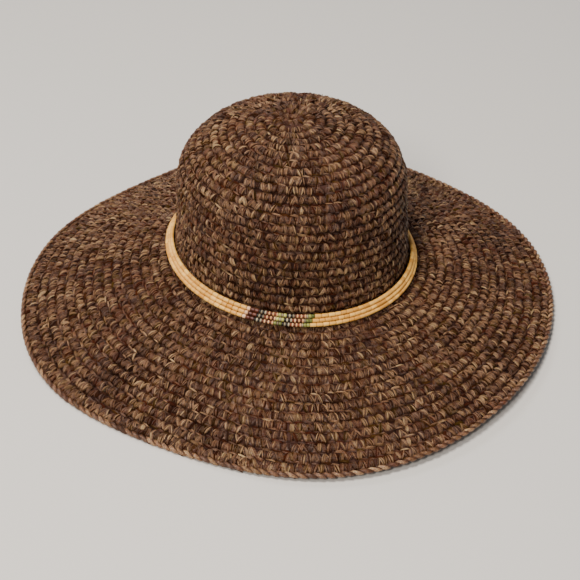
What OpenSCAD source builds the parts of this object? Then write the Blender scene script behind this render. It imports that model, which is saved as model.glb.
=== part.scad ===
// Crocheted raffia sun hat: a domed crown, a wide soft brim with a finishing round,
// a ribbon sweatband inside, and a loose band of three bead strands round the crown.
// The origin is on the surface the hat stands on, under the crown's own axis.
// +Z is up and the front of the hat faces -Y.

/* [Crown] */
// Height from the surface the brim rests on to the crown's tip
hat_h = 170; // [160:1:180]
// Outside radius of the crown where the brim joins it
crown_r = 96; // [95:0.5:98]
// Outside radius of the crown at its shoulder, where the dome starts
shoulder_r = 92.5; // [91:0.5:94]
// Height of the shoulder
shoulder_z = 111; // [104:1:118]
// How square the dome is (2 is a half ellipse)
dome_square = 2.35; // [2:0.05:2.8]
// Thickness of the crocheted fabric
fabric_t = 4; // [3:0.1:5]
// Radius of the first rounds worked at the tip
tip_r = 40; // [25:1:50]
// Radius of the flatter rounds round the tip
top_r = 65; // [60:1:70]
// Height where the dome turns down into the shoulder rounds
dome_z = 133; // [125:1:140]

/* [Brim] */
// Height of the brim's top face where it joins the crown
join_z = 46.5; // [44:0.5:48]
// How much lower the join is on the right than at the middle
join_drop_right = 7; // [4:0.5:8]
// How much lower the join is at the front than at the middle
join_drop_front = 1.5; // [0:0.5:4]
// Mean radius of the brim's edge
brim_r = 218.3; // [210:0.1:225]
// Mean rise of the brim's edge off the surface
edge_rise = 4; // [3:0.5:6]
// How far the brim bows upward between the crown and the edge
brim_bow = 3; // [0:0.5:6]
// Diameter of the finishing round at the edge
edge_d = 5.2; // [4:0.1:6]

/* [Sweatband] */
// Inside radius of the sweatband, half of the head opening
head_r = 90; // [88:0.1:90.2]
// Width of the sweatband ribbon
sweatband_w = 30; // [24:1:34]
// Width of the join that covers the ribbon's two ends
join_w = 12; // [8:1:16]
// Number of stitches that hold the sweatband's lower edge
stitch_count = 60; // [40:1:80]

/* [Bead band] */
// Radius of the lower strand
strand_r = 102.4; // [102.4:0.1:105]
// Height of the lower strand at its middle
strand_z = 49.3; // [49:0.1:52]
// How much lower the band lies on the right than at its middle
band_drop_right = 8.5; // [7:0.5:9]
// How much lower the band lies at the front than at its middle
band_drop_front = 2; // [1.5:0.5:4]
// Step towards the crown from one strand to the next
strand_step_in = 1.7; // [1.7:0.1:2]
// Step up from one strand to the next
strand_step_up = 3; // [3:0.1:3.2]
// Diameter of a tan bead
bead_d = 3.3; // [3:0.1:3.4]
// Length of a tan bead
bead_l = 5; // [4.5:0.1:6]
// Diameter of a coloured bead
seed_d = 3; // [2.6:0.1:3.2]
// Diameter of the hole through every bead
bore_d = 1.2; // [1.1:0.1:1.4]
// Diameter of the cord inside the beads
cord_d = 0.8; // [0.6:0.1:0.9]
// Direction from the crown's axis to the start of the coloured beads
accent_start = 247.8; // [240:0.1:260]

/* [Hidden] */
$fn = 96;

raffia = "#4d3626";
raffia_edge = "#6b4a30";
ribbon = "#2b201a";
tan_bead = "#d9ac74";

// The brim's edge is a circle with waves in it: [number of waves, size, direction of the first].
outline_waves = [[1, 3.5, -106], [2, 0.9, -95], [3, 3.4, -162], [4, 3.3, 44], [5, 1.6, 29], [6, 1.4, 180]];
height_waves = [[1, 1.1, 65], [2, 2, -87], [3, 2.3, -139], [4, 1.2, 2], [5, 1, 160]];

function waves(list, a) = len(list) == 0 ? 0
    : [for (w = list) w[1] * cos(w[0] * a - w[2])] * [for (w = list) 1];
function edge_r(a) = brim_r + waves(outline_waves, a);
function edge_z(a) = edge_d / 2 + max(0, edge_rise + waves(height_waves, a));
// Height of the brim's top face at the crown, which lies in a tilted plane.
function join_top(a) = join_z - join_drop_right * cos(a) + join_drop_front * sin(a);

// A point on the brim's middle surface, from the crown (s = 0) to the edge (s = 1).
function brim_point(s, a) =
    let (r = crown_r + s * (edge_r(a) - 0.4 * edge_d - crown_r),
        inner = join_top(a) - fabric_t / 2,
        z = edge_z(a) + (inner - edge_z(a)) * (1 - s) + brim_bow * 4 * s * (1 - s))
    [r * cos(a), r * sin(a), z];

join_tilt = [atan(join_drop_front / crown_r), atan(join_drop_right / crown_r), 0];
cut_z = join_z - fabric_t;          // the crown's lower edge
sweatband_r = head_r + 0.8;         // the ribbon is 0.8 thick and lies on the crown's inside
inner_wall_z = 90;                  // the crown's inside is straight up to here
crown_foot_z = 25;                  // lower than any point of the tilted lower edge
big = 300;

// Beads: the kinds in the coloured stretch, left to right, and each kind's length.
accent = ["pink", "rust", "rust", "black", "pearl", "black", "pearl", "coral", "peach", "coral",
    "peach", "coral", "peach", "green", "pearl", "green", "black", "pearl", "black", "pearl",
    "coral", "peach", "coral", "peach", "coral", "peach", "pearl", "green", "green"];
bead_gap = 0.12;
accent_shift = 0.6;                 // each strand's colours start this many degrees after the one below
spacer_t = 2.6;                     // thickness of the spacer bar, along the strands
spacer_angle = 90;
knot_d = 2.2;

function kind_length(kind) = kind == "tan" ? bead_l : kind == "pink" ? 3
    : kind == "rust" ? 3.3 : kind == "green" ? 2.4 : 1.4;
function strand_radius(i) = strand_r - i * strand_step_in;
function degrees_for(i, length) = length * 180 / (PI * strand_radius(i));
function sum_to(list, n) = n <= 0 ? 0 : list[n - 1] + sum_to(list, n - 1);

accent_steps = [for (kind = accent) kind_length(kind) + bead_gap];
accent_l = sum_to(accent_steps, len(accent_steps));
function accent_from(i) = accent_start + i * accent_shift;
function accent_to(i) = accent_from(i) + degrees_for(i, accent_l);

// The tan beads fill the strand from the end of the colours to the spacer bar's knots,
// and from the bar to the start of the colours.
bar_half_l = spacer_t / 2 + knot_d + 0.3;
function tan_count(i, span) = floor(span / degrees_for(i, bead_l + bead_gap));

module in_band_frame() {
    translate([0, 0, strand_z])
        rotate([atan(band_drop_front / strand_r), atan(band_drop_right / strand_r), 0])
            children();
}

module below_tilted(z) {
    translate([0, 0, z]) rotate(join_tilt) translate([-big / 2, -big / 2, -big]) cube(big);
}

module above_tilted(z) {
    translate([0, 0, z]) rotate(join_tilt) translate([-big / 2, -big / 2, 0]) cube(big);
}

// One quarter of the dome's outline, from the shoulder to the tip.
function dome(r, h) = [for (t = [0 : 5 : 90])
    [r * pow(cos(t), 2 / dome_square), shoulder_z + h * pow(sin(t), 2 / dome_square)]];

module crown_outside() {
    rotate_extrude()
        polygon(concat([[0, crown_foot_z], [crown_r, crown_foot_z], [crown_r, join_z + 8]],
            dome(shoulder_r, hat_h - shoulder_z)));
}

module crown_inside() {
    rotate_extrude()
        polygon(concat([[0, crown_foot_z - 1], [sweatband_r, crown_foot_z - 1], [sweatband_r, inner_wall_z]],
            dome(shoulder_r - fabric_t, hat_h - fabric_t - shoulder_z)));
}

// The crown's shell, of which the five crown pieces are stretches from the tip down.
module crown_shell() {
    difference() {
        crown_outside();
        crown_inside();
    }
}

module upright(r) {
    translate([0, 0, shoulder_z]) cylinder(r = r, h = big);
}

module all_below(z) {
    translate([-big / 2, -big / 2, z - big]) cube(big);
}

module crown_tip() {
    color(raffia) intersection() {
        crown_shell();
        upright(tip_r);
    }
}

module crown_top() {
    color(raffia) difference() {
        intersection() {
            crown_shell();
            upright(top_r);
        }
        upright(tip_r);
    }
}

module crown_dome() {
    color(raffia) difference() {
        crown_shell();
        upright(top_r);
        all_below(dome_z);
    }
}

module crown_shoulder() {
    color(raffia) difference() {
        crown_shell();
        translate([-big / 2, -big / 2, dome_z]) cube(big);
        all_below(shoulder_z);
    }
}

module crown_wall() {
    color(raffia) difference() {
        crown_shell();
        translate([-big / 2, -big / 2, shoulder_z]) cube(big);
        below_tilted(cut_z);
    }
}

// A ring of quadrilaterals joins each loop of points to the next, and the last to the first.
module closed_ring(loops) {
    rows = len(loops[0]);
    count = len(loops);
    polyhedron(
        points = [for (ring = loops) for (p = ring) p],
        faces = [for (i = [0 : count - 1]) for (j = [0 : rows - 1])
            let (a = i * rows + j, b = i * rows + (j + 1) % rows,
                c = ((i + 1) % count) * rows + (j + 1) % rows, d = ((i + 1) % count) * rows + j)
            for (face = [[a, b, c], [a, c, d]]) face]);
}

ring_steps = 72;
brim_rows = 5;

module brim() {
    half = [0, 0, fabric_t / 2];
    color(raffia) closed_ring([for (k = [0 : ring_steps - 1]) let (a = k * 360 / ring_steps)
        concat([for (j = [0 : brim_rows]) brim_point(j / brim_rows, a) - half],
            [for (j = [brim_rows : -1 : 0]) brim_point(j / brim_rows, a) + half])]);
}

module brim_edge() {
    sides = 8;
    color(raffia_edge) closed_ring([for (k = [0 : ring_steps - 1]) let (a = k * 360 / ring_steps)
        [for (j = [0 : sides - 1]) let (t = (j + 0.5) * 360 / sides, half = edge_d / 2 / cos(180 / sides))
            let (r = edge_r(a) + half * cos(t))
            [r * cos(a), r * sin(a), edge_z(a) + half * sin(t)]]]);
}

module ribbon_ring(from, to) {
    difference() {
        translate([0, 0, crown_foot_z]) rotate([0, 0, from])
            rotate_extrude(angle = to - from)
                translate([head_r, 0]) square([sweatband_r - head_r, inner_wall_z - crown_foot_z]);
        below_tilted(cut_z);
        above_tilted(cut_z + sweatband_w);
    }
}

join_half = join_w * 90 / (PI * head_r);

module sweatband() {
    color(ribbon) ribbon_ring(90 + join_half, 450 - join_half);
}

module sweatband_join() {
    color("#3a2c24") ribbon_ring(90 - join_half, 90 + join_half);
}

stitch_d = 0.6;
stitch_gap = 0.12;                  // the thread lies just under the ribbon's edge

module sweatband_stitches() {
    color("#1f1814") translate([0, 0, cut_z]) rotate(join_tilt)
        for (k = [0 : stitch_count - 1])
            rotate([0, 0, (k + 0.5) * 360 / stitch_count])
                translate([head_r + 0.4, 0, -stitch_d / 2 - stitch_gap]) rotate([0, 90, 0])
                    cylinder(d = stitch_d, h = 3.6, $fn = 24);
}

// A plain round label sewn flat across the inside of the tip, touching it along its rim.
label_r = 22;
label_t = 0.4;

module crown_label() {
    inner_r = shoulder_r - fabric_t;
    rim_z = shoulder_z + (hat_h - fabric_t - shoulder_z)
        * pow(1 - pow(label_r / inner_r, dome_square), 1 / dome_square);
    color("#d8cfc0") translate([0, 0, rim_z - label_t - 0.15]) cylinder(r = label_r, h = label_t);
}

module strand_cord(i) {
    color("#8a6a45") in_band_frame() translate([0, 0, i * strand_step_up])
        rotate_extrude() translate([strand_radius(i), 0]) circle(d = cord_d, $fn = 24);
}

// One bead with its middle in the direction a, on strand i.
module bead(i, a, length, d) {
    in_band_frame() rotate([0, 0, a]) translate([strand_radius(i), 0, i * strand_step_up])
        rotate([90, 0, 0]) difference() {
            cylinder(d = d, h = length, center = true, $fn = 32);
            cylinder(d = bore_d, h = length + 1, center = true, $fn = 32);
        }
}

// Tan beads spread evenly between two directions.
module tan_run(i, from, to) {
    count = tan_count(i, to - from);
    step = (to - from) / count;
    for (k = [0 : count - 1]) bead(i, from + (k + 0.5) * step, bead_l, bead_d);
}

module tan_beads(i) {
    bar = degrees_for(i, bar_half_l);
    color(tan_bead) {
        tan_run(i, accent_to(i), 360 + spacer_angle - bar);
        tan_run(i, spacer_angle + bar, accent_from(i));
    }
}

module accent_beads(kind, tint) {
    color(tint) for (i = [0 : 2]) for (k = [0 : len(accent) - 1]) if (accent[k] == kind)
        bead(i, accent_from(i) + degrees_for(i, sum_to(accent_steps, k) + accent_steps[k] / 2),
            kind_length(kind), kind == "pink" ? bead_d : seed_d);
}

// A short bar across the three strands at the back keeps them in order.
bar_w = 3.8;

module spacer_bar() {
    lean = atan2(strand_step_up, -strand_step_in);
    reach = 2 * norm([strand_step_in, strand_step_up]);
    color("#5a3b22") in_band_frame() rotate([0, 0, spacer_angle]) difference() {
        rotate([90, 0, 0]) linear_extrude(height = spacer_t, center = true)
            translate([strand_r, 0]) rotate(lean) {
                translate([0, -bar_w / 2]) square([reach, bar_w]);
                for (end = [0, reach]) translate([end, 0]) circle(d = bar_w, $fn = 48);
            }
        for (i = [0 : 2]) translate([strand_radius(i), 0, i * strand_step_up])
            rotate([90, 0, 0]) cylinder(d = bore_d, h = spacer_t + 1, center = true, $fn = 32);
    }
}

// A small knot on each cord, on both sides of the bar.
module cord_knots() {
    color("#8a6a45") in_band_frame() for (i = [0 : 2]) for (side = [-1, 1])
        rotate([0, 0, spacer_angle + side * degrees_for(i, spacer_t / 2 + knot_d / 2 + 0.15)])
            translate([strand_radius(i), 0, i * strand_step_up]) difference() {
                sphere(d = knot_d, $fn = 32);
                rotate([90, 0, 0]) cylinder(d = cord_d, h = knot_d + 1, center = true, $fn = 24);
            }
}

crown_tip();
crown_top();
crown_dome();
crown_shoulder();
crown_wall();
brim();
brim_edge();
sweatband();
sweatband_join();
sweatband_stitches();
crown_label();
strand_cord(0);  // lower_cord
strand_cord(1);  // middle_cord
strand_cord(2);  // upper_cord
tan_beads(0);  // lower_tan_beads
tan_beads(1);  // middle_tan_beads
tan_beads(2);  // upper_tan_beads
accent_beads("pink", "#e3b79d");  // pink_beads
accent_beads("rust", "#6b2f1d");  // rust_beads
accent_beads("black", "#1b1719");  // black_beads
accent_beads("pearl", "#dcd3c6");  // pearl_beads
accent_beads("peach", "#dfa27c");  // peach_beads
accent_beads("coral", "#a9553c");  // coral_beads
accent_beads("green", "#8d9443");  // green_beads
spacer_bar();
cord_knots();
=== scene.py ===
import math

import bpy
import numpy as np
from mathutils import Matrix, Vector


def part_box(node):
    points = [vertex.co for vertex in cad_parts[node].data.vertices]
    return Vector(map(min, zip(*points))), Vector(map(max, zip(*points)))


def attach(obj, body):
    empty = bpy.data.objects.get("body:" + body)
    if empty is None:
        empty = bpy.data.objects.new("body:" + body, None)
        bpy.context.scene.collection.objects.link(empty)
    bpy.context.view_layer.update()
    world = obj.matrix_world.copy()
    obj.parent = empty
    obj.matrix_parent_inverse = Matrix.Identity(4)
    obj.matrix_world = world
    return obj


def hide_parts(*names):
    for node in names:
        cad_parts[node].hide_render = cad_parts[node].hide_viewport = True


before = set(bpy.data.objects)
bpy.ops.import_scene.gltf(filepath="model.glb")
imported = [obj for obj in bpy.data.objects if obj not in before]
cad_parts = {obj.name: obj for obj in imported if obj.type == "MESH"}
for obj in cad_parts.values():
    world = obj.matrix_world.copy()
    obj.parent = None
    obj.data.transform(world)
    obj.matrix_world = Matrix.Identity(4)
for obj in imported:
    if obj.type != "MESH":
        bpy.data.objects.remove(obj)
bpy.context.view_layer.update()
mm = 0.001
fullTurn = 2 * math.pi
dice = np.random.default_rng(41)

# camera

cameraPlace = {"side": -1.64, "back": -1007.6, "height": 769.1, "tiltDown": 37.24, "roll": -0.17,
               "lens": 93.1}


def placeCamera():
    data = bpy.data.cameras.new("hatCamera")
    data.lens = cameraPlace["lens"]
    data.sensor_width = 36
    camera = bpy.data.objects.new("hatCamera", data)
    bpy.context.scene.collection.objects.link(camera)
    camera.location = (cameraPlace["side"] * mm, cameraPlace["back"] * mm, cameraPlace["height"] * mm)
    turn = Matrix.Rotation(math.radians(90 - cameraPlace["tiltDown"]), 4, "X")
    camera.rotation_euler = (turn @ Matrix.Rotation(math.radians(cameraPlace["roll"]), 4, "Z")).to_euler()
    bpy.context.scene.camera = camera


placeCamera()

# the hat's surface, in millimetres: t counts rounds from the tip, a is the direction round the hat

hatShape = {
    "tipZ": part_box("crown_tip")[1].z / mm,
    "shoulderZ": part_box("crown_wall")[1].z / mm,
    "crownR": 96.0, "shoulderR": 92.5, "straightZ": 54.5, "domeSquare": 2.35,
    "joinZ": 46.5, "dropRight": 7.0, "dropFront": 1.5,
    "brimR": 218.3, "edgeRise": 4.0, "brimBow": 3.0, "edgeD": 5.2, "fabricT": 4.0,
    "outlineWaves": [(1, 3.5, -106), (2, 0.9, -95), (3, 3.4, -162), (4, 3.3, 44), (5, 1.6, 29),
                     (6, 1.4, 180)],
    "heightWaves": [(1, 1.1, 65), (2, 2.0, -87), (3, 2.3, -139), (4, 1.2, 2), (5, 1.0, 160)],
    "crownRounds": 24, "brimRounds": 16, "cornerSoftness": 0.45, "cornerReach": 1.1,
    "edgeInset": 0.4, "nearTip": 0.03, "probe": 0.02}


def waves(rows, a):
    return sum(size * np.cos(count * a - math.radians(start)) for count, size, start in rows)


def edgeRadius(a):
    return hatShape["brimR"] + waves(hatShape["outlineWaves"], a)


def edgeHeight(a):
    return hatShape["edgeD"] / 2 + np.maximum(0, hatShape["edgeRise"] + waves(hatShape["heightWaves"], a))


def joinTop(a):
    return hatShape["joinZ"] - hatShape["dropRight"] * np.cos(a) + hatShape["dropFront"] * np.sin(a)


# arc length from the tip, radius and height
def crownOutline():
    s = hatShape
    t = np.linspace(math.pi / 2, 0, 400)
    power = 2 / s["domeSquare"]
    r = s["shoulderR"] * np.clip(np.cos(t), 0, 1) ** power
    z = s["shoulderZ"] + (s["tipZ"] - s["shoulderZ"]) * np.sin(t) ** power
    r = np.append(r, [s["crownR"], s["crownR"]])
    z = np.append(z, [s["straightZ"], 20.0])
    along = np.concatenate([[0], np.cumsum(np.hypot(np.diff(r), np.diff(z)))])
    return along, r, z


crownAlong, crownRadius, crownHeight = crownOutline()


def crownLength(a):
    return np.interp(-joinTop(a), -crownHeight, crownAlong)


# the outer face with a sharp corner between crown and brim
def plainPoint(t, a):
    s = hatShape
    down = np.clip(t, 0, s["crownRounds"]) / s["crownRounds"] * crownLength(a)
    r, z = np.interp(down, crownAlong, crownRadius), np.interp(down, crownAlong, crownHeight)
    out = (t - s["crownRounds"]) / s["brimRounds"]
    inner, edge = joinTop(a) - s["fabricT"] / 2, edgeHeight(a)
    brimR = s["crownR"] + out * (edgeRadius(a) - s["edgeInset"] * s["edgeD"] - s["crownR"])
    brimZ = edge + (inner - edge) * (1 - out) + s["brimBow"] * 4 * out * (1 - out) + s["fabricT"] / 2
    onBrim = out > 0
    r, z = np.where(onBrim, brimR, r), np.where(onBrim, brimZ, z)
    return np.stack([r * np.cos(a), r * np.sin(a), z], -1)


def outerPoint(t, a):
    s = hatShape
    reach = s["cornerSoftness"] * np.exp(-((t - s["crownRounds"]) / s["cornerReach"]) ** 2)
    return (plainPoint(t - reach, a) + 2 * plainPoint(t, a) + plainPoint(t + reach, a)) / 4


# points and outward normals
def surfaceAt(t, a):
    t, step = np.maximum(t, hatShape["nearTip"]), hatShape["probe"]
    p = outerPoint(t, a)
    downhill = outerPoint(t + step, a) - p
    across = outerPoint(t, a + step) - p
    n = np.cross(downhill, across)
    return p, n / np.maximum(np.linalg.norm(n, axis=-1, keepdims=True), 1e-9)


# helpers for meshes

# stacks (verts, quads, tris, quadUvs, triUvs, tones) into one
def joinParts(parts):
    verts, quads, tris, quadUvs, triUvs, tones, base = [], [], [], [], [], [], 0
    for v, q, f, qu, fu, tone in parts:
        verts.append(v)
        quads.append(q + base)
        tris.append(f + base)
        quadUvs.append(qu)
        triUvs.append(fu)
        tones.append(tone)
        base += len(v)
    return [np.concatenate(x) for x in (verts, quads, tris, quadUvs, triUvs, tones)]


# part is (verts, quads, tris, quadUvs, triUvs, tones); tones has two values for each vertex
def meshObject(name, part):
    verts, quads, tris, quadUvs, triUvs, tones = part
    mesh = bpy.data.meshes.new(name)
    mesh.vertices.add(len(verts))
    mesh.vertices.foreach_set("co", (verts * mm).astype(np.float32).ravel())
    corners = np.concatenate([quads.ravel(), tris.ravel()]).astype(np.int32)
    sizes = np.concatenate([np.full(len(quads), 4), np.full(len(tris), 3)]).astype(np.int32)
    mesh.loops.add(len(corners))
    mesh.loops.foreach_set("vertex_index", corners)
    mesh.polygons.add(len(sizes))
    mesh.polygons.foreach_set("loop_start", np.concatenate([[0], np.cumsum(sizes)[:-1]]).astype(np.int32))
    mesh.polygons.foreach_set("use_smooth", np.ones(len(sizes), bool))
    mesh.update(calc_edges=True)
    layer = mesh.uv_layers.new(name="fibre")
    layer.data.foreach_set("uv", np.concatenate([quadUvs.reshape(-1, 2), triUvs.reshape(-1, 2)])
                           .astype(np.float32).ravel())
    for k, key in enumerate(("tone", "tint")):
        mesh.attributes.new(key, "FLOAT", "POINT").data.foreach_set("value", tones[:, k].astype(np.float32))
    obj = bpy.data.objects.new(name, mesh)
    bpy.context.scene.collection.objects.link(obj)
    return obj


def unit(v):
    return v / np.linalg.norm(v, axis=-1, keepdims=True)


# faces of a tube, by its steps along and sides round; a closed one joins its last ring to its first
def tubeQuads(steps, sides, closed=False):
    rings = steps if closed else steps + 1
    i, j = np.meshgrid(np.arange(steps), np.arange(sides), indexing="ij")
    ni, nj = (i + 1) % rings, (j + 1) % sides
    return np.stack([i * sides + j, i * sides + nj, ni * sides + nj, ni * sides + j], -1).reshape(-1, 4)


# flat coordinates of those faces: 0 to 1 round the tube, and the given length at each ring
def tubeUvs(steps, sides, length):
    i, j = np.meshgrid(np.arange(steps), np.arange(sides), indexing="ij")
    near, far, low, high = j / sides, (j + 1) / sides, length[i], length[i + 1]
    corners = [np.stack(pair, -1) for pair in ((near, low), (far, low), (far, high), (near, high))]
    return np.stack(corners, 2).reshape(-1, 4, 2)


# faces of a two-sided sheet of rings: its upper side, its lower side and the two rims between them
def sheetQuads(rows, around):
    size, end = (rows + 1) * around, rows * around
    top = np.roll(tubeQuads(rows, around)[:, ::-1], 1, axis=1)
    k = np.arange(around)
    nk = (k + 1) % around
    inner = np.stack([k, nk, nk + size, k + size], -1)
    outer = np.stack([end + nk, end + k, end + k + size, end + nk + size], -1)
    return np.concatenate([top, top[:, ::-1] + size, inner, outer])


def tubeEnds(steps, sides):
    fan = np.arange(1, sides - 1)
    return np.concatenate([np.stack([0 * fan, fan + 1, fan], -1),
                           steps * sides + np.stack([0 * fan, fan, fan + 1], -1)])


def lengthAlong(centre):
    return np.concatenate([[0], np.cumsum(np.linalg.norm(np.diff(centre, axis=0), axis=1))])


# a closed, ridged strand swept along path(q), q from 0 to 1
def strandTemplate(path, halfWidth, halfThick, sides, steps, ridge=0.0):
    q = np.linspace(0, 1, steps + 1)
    centre = np.array([path(x) for x in q], float)
    along = unit(np.gradient(centre, axis=0))
    side = unit(np.cross(along, (0, 0, 1.0)))
    up = np.cross(side, along)
    turn = np.arange(sides) * fullTurn / sides
    swell = 1 + ridge * (1 - 2 * (np.arange(sides) % 2))
    width = np.array([halfWidth(x) for x in q])[:, None, None]
    thick = np.array([halfThick(x) for x in q])[:, None, None]
    ring = (side[:, None] * (np.cos(turn) * swell)[None, :, None] * width
            + up[:, None] * (np.sin(turn) * swell)[None, :, None] * thick)
    verts = (centre[:, None] + ring).reshape(-1, 3)
    tris = tubeEnds(steps, sides)
    return (verts, tubeQuads(steps, sides), tris, tubeUvs(steps, sides, lengthAlong(centre)),
            np.zeros((len(tris), 3, 2)))


# places is (copies, verts, 3); tones is (copies, 2), or (copies, verts, 2)
def repeatTemplate(template, places, tones):
    verts, quads, tris, quadUvs, triUvs = template
    copies, count = places.shape[:2]
    shift = np.arange(copies)[:, None, None] * count
    if tones.ndim == 2:
        tones = np.repeat(tones[:, None], count, axis=1)
    offset = np.repeat(tones[:, 0, 1] * 37.0, len(quads))[:, None, None]
    manyUvs = np.tile(quadUvs, (copies, 1, 1)) + offset * np.array([0.0, 1.0])
    return (places.reshape(-1, 3), (quads[None] + shift).reshape(-1, 4), (tris[None] + shift).reshape(-1, 3),
            manyUvs, np.tile(triUvs, (copies, 1, 1)), tones.reshape(-1, 2))


# crochet stitches, laid along one spiral from the tip to the brim's edge

stitchWork = {"width": 6.7, "height": 7.8, "firstRound": 6, "wander": 0.28, "sizeSpread": 0.10, "turn": 0.15,
              "liftSpread": 0.26, "strawShare": 0.004, "cellWander": 0.09,
              "strandsPerLeg": 5, "strandSides": 5, "strandSteps": 4, "strandHalfWidth": 0.40,
              "strandSpread": 1.4, "strandWander": 0.18, "strandLift": 0.32, "strandTone": 0.33,
              "backTone": 0.04, "coreDepth": (3.1, 3.5), "coreAround": 160, "floorGap": 0.05,
              "middle": 3.9, "firstT": 0.42, "lastRow": 0.62, "overlap": 0.8, "evenRounds": 12,
              "smallestR": 4.5, "tipStrands": 9, "tipSpread": 1.6}


# one row for each stitch: its round, direction and width in radians
def spiralCells():
    w = stitchWork
    rows, t, a = [], w["firstT"], 0.0
    last = hatShape["crownRounds"] + hatShape["brimRounds"] - w["lastRow"]
    while t < last + w["overlap"]:
        p = outerPoint(np.array(t + 0.5), np.array(a))
        r = max(float(np.hypot(p[0], p[1])), w["width"] * w["firstRound"] / fullTurn)
        wide = w["width"] / r
        rows.append((min(t, last) + dice.normal(0, 0.018), a + dice.normal(0, w["cellWander"]) * wide, wide))
        a += wide
        t += wide / fullTurn
    return np.array(rows)


def smoothHump(q, power=1.0):
    return math.sin(math.pi * min(max(q, 0), 1)) ** power


# what would sink into the surface the hat lies on is pressed flat on it
def aboveFloor(places):
    return np.concatenate([places[..., :2], np.maximum(places[..., 2:], stitchWork["floorGap"])], -1)


# one template out of several, and which of them each vertex came from
def joinTemplates(templates):
    counts = [len(part[0]) for part in templates]
    starts = np.concatenate([[0], np.cumsum(counts)[:-1]])
    shifts = [starts if k in (1, 2) else 0 * starts for k in range(5)]
    joined = tuple(np.concatenate([part[k] + shift for part, shift in zip(templates, shifts[k])])
                   for k in range(5))
    return joined, np.repeat(np.arange(len(templates)), counts)


# place runs from -1 to 1 across the leg
def legStrand(sideSign, place):
    w = stitchWork

    def path(q):
        bundle = place * w["strandSpread"] * (0.35 + 0.65 * smoothHump(q, 0.6))
        lift = -3.7 + 3.15 * smoothHump(q, 0.8) - 0.45 * place ** 2 * smoothHump(q)
        return (sideSign * (0.25 + 2.75 * q) + bundle, -0.9 + 8.5 * q, lift)
    return strandTemplate(path, lambda q: w["strandHalfWidth"] * (0.55 + 0.5 * smoothHump(q, 0.7)),
                          lambda q: 0.24 + 0.24 * smoothHump(q), w["strandSides"], w["strandSteps"])


legs = [joinTemplates([legStrand(sign, place) for place in np.linspace(-1, 1, stitchWork["strandsPerLeg"])])
        for sign in (-1, 1)]
topLoop = joinTemplates([
    strandTemplate(lambda q: (-4.3 + 8.6 * q, rise + 1.6 * q, -3.1 + 0.9 * smoothHump(q, 0.7)),
                   lambda q: 0.45 + 0.25 * smoothHump(q), lambda q: 0.25 + 0.2 * smoothHump(q), 5, 4)
    for rise in (6.1, 7.1)])
backBump = joinTemplates([strandTemplate(
    lambda q: (-3.9 + 7.8 * q, 3.2 + 1.2 * q, -3.6 - 0.15 * smoothHump(q)),
    lambda q: 1.4 + 1.9 * smoothHump(q, 0.7), lambda q: 0.35 + 0.5 * smoothHump(q), 8, 4, 0.14)])


# copies of a bundle of strands, one for each stitch; painted shade darkens the colour of what lies deep in
# the fabric
def layStitches(cells, bundle, toneShift=0.0, paintedShade=0.7):
    w = stitchWork
    template, strandOf = bundle
    verts = template[0]
    count = len(cells)
    strands = strandOf.max() + 1
    startRound, direction, wide = cells[:, 0:1], cells[:, 1:2], cells[:, 2:3]

    def jitter(size):
        return dice.normal(0, size, (count, 1))

    def perStrand(size):
        return dice.normal(0, size, (count, strands))[:, strandOf]

    x = verts[None, :, 0] * (1 + jitter(w["sizeSpread"])) + jitter(w["wander"])
    y = verts[None, :, 1] * (1 + jitter(w["sizeSpread"] / 2)) + jitter(w["wander"])
    x = x + (y - w["middle"]) * jitter(w["turn"]) + perStrand(w["strandWander"])
    lift = verts[None, :, 2] + np.clip(jitter(w["liftSpread"]), -0.6, 0.3)
    lift = lift + np.clip(perStrand(w["strandLift"]), -0.5, 0.25)
    t = startRound + y / w["height"] + x / w["width"] * wide / fullTurn
    middle = outerPoint(startRound + 0.5, direction)
    here = outerPoint(np.maximum(t, hatShape["nearTip"]), direction + 0 * t)
    reach = np.maximum(np.hypot(here[..., 0], here[..., 1]), w["smallestR"])
    spread = np.hypot(middle[..., 0], middle[..., 1]) / reach
    a = direction + x / w["width"] * wide * np.where(startRound < w["evenRounds"], spread, 1)
    p, n = surfaceAt(t, a)
    places = aboveFloor(p + n * lift[..., None])
    straw = dice.random(count) < w["strawShare"]
    tone = np.clip(dice.normal(0.5, 0.15, count) + toneShift, 0, 1) + 0.5 * straw
    tone = tone[:, None] + perStrand(w["strandTone"] if strands > 1 else w["backTone"])
    # painted shade: the deeper a point lies in the fabric, the darker its tone
    deep = np.clip((-lift - 1.3) / 2.0, 0, 1)
    tones = np.stack([tone - paintedShade * deep, np.broadcast_to(dice.random((count, 1)), deep.shape)], -1)
    return repeatTemplate(template, places, tones)


# a thin closed layer between the stitches' faces, so that no light comes through the fabric; its tones of 0
# give it the darkest colour, painted shade in the holes between the stitches
def coreSheet(fromT, toT, depth=stitchWork["coreDepth"]):
    around, rows = stitchWork["coreAround"], max(2, int((toT - fromT) * 2))
    t = np.linspace(fromT, toT, rows + 1)
    a = np.arange(around) * fullTurn / around
    tt, aa = np.meshgrid(t, a, indexing="ij")
    p, n = surfaceAt(tt, aa)
    layers = [(p - n * d).reshape(-1, 3) for d in depth]
    quads = sheetQuads(rows, around)
    verts = np.concatenate(layers)
    uvs = np.zeros((len(quads), 4, 2))
    return verts, quads, np.zeros((0, 3), int), uvs, np.zeros((0, 3, 2)), np.zeros((len(verts), 2))


cells = spiralCells()
print("stitches", len(cells))

# every stretch of the crown and brim: the part it belongs to, its rounds, and how many pieces it is made in
fabricStretches = [
    ("crownTipFabric", "crown_tip", 0, 5.3, 1), ("crownTopFabric", "crown_top", 5.3, 8.6, 1),
    ("crownDomeFabric", "crown_dome", 8.6, 12.8, 2), ("crownShoulderFabric", "crown_shoulder", 12.8, 16, 1),
    ("crownWallFabric", "crown_wall", 16, 24.4, 3), ("brimFabric", "brim", 24.4, 40.8, 9)]


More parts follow.
